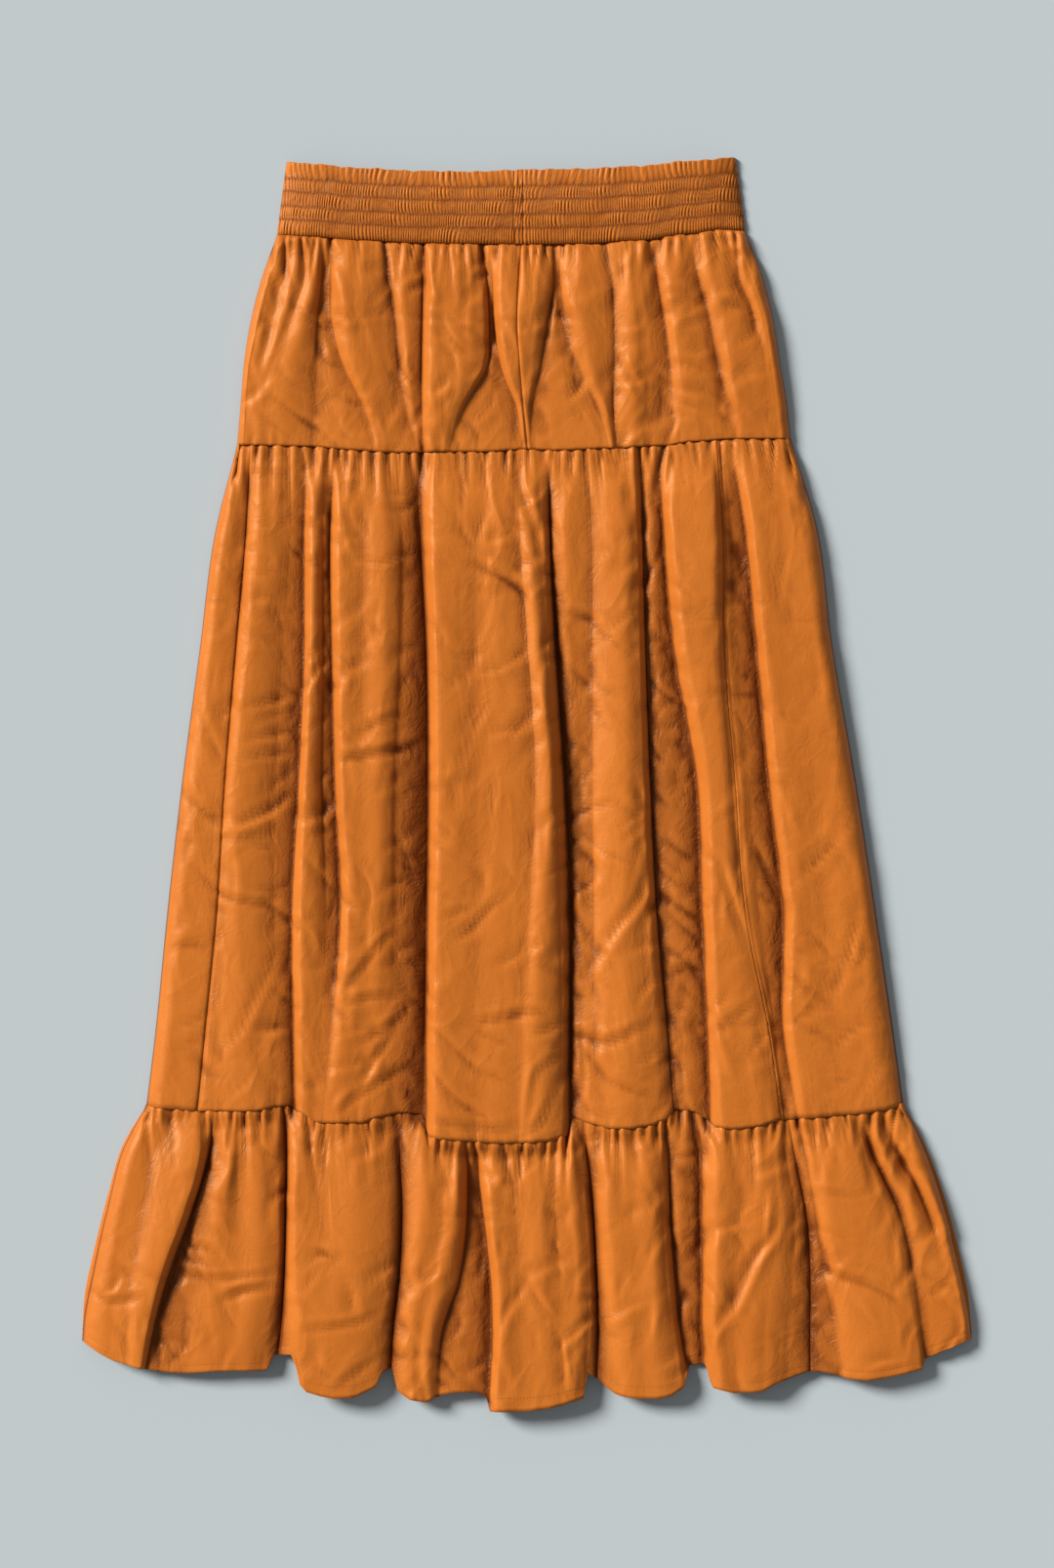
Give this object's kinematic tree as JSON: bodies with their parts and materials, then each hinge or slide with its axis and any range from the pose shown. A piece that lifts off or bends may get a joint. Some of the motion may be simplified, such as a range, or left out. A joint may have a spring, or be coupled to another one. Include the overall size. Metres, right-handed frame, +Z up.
{
  "type": "tiered gathered skirt",
  "caption": "Long tiered skirt of thin silky cloth, laid flat on its back: a shirred elastic waistband, a gathered yoke, a long middle tier and a gathered hem ruffle.",
  "frame": {"origin": "on the resting surface, under the middle of the garment's length and width", "axes": "+Z up from the surface through the front of the garment; +Y from the hem to the waistband; +X to the right as one looks down on the front"},
  "size_m": [0.648, 0.912, 0.0248],
  "materials": {
    "cloth": "thin silky plain weave in burnt orange, soft sheen on the folds"
  },
  "bodies": {
    "root": {"waistband_front_left": "cloth", "waistband_front_right": "cloth", "waistband_back": "cloth", "yoke_front_left": "cloth", "yoke_front_right": "cloth", "yoke_back": "cloth", "middle_tier_front_left": "cloth", "middle_tier_front_right": "cloth", "middle_tier_back": "cloth", "ruffle_front_left": "cloth", "ruffle_front_right": "cloth", "ruffle_back": "cloth"}
  },
  "joints": []
}
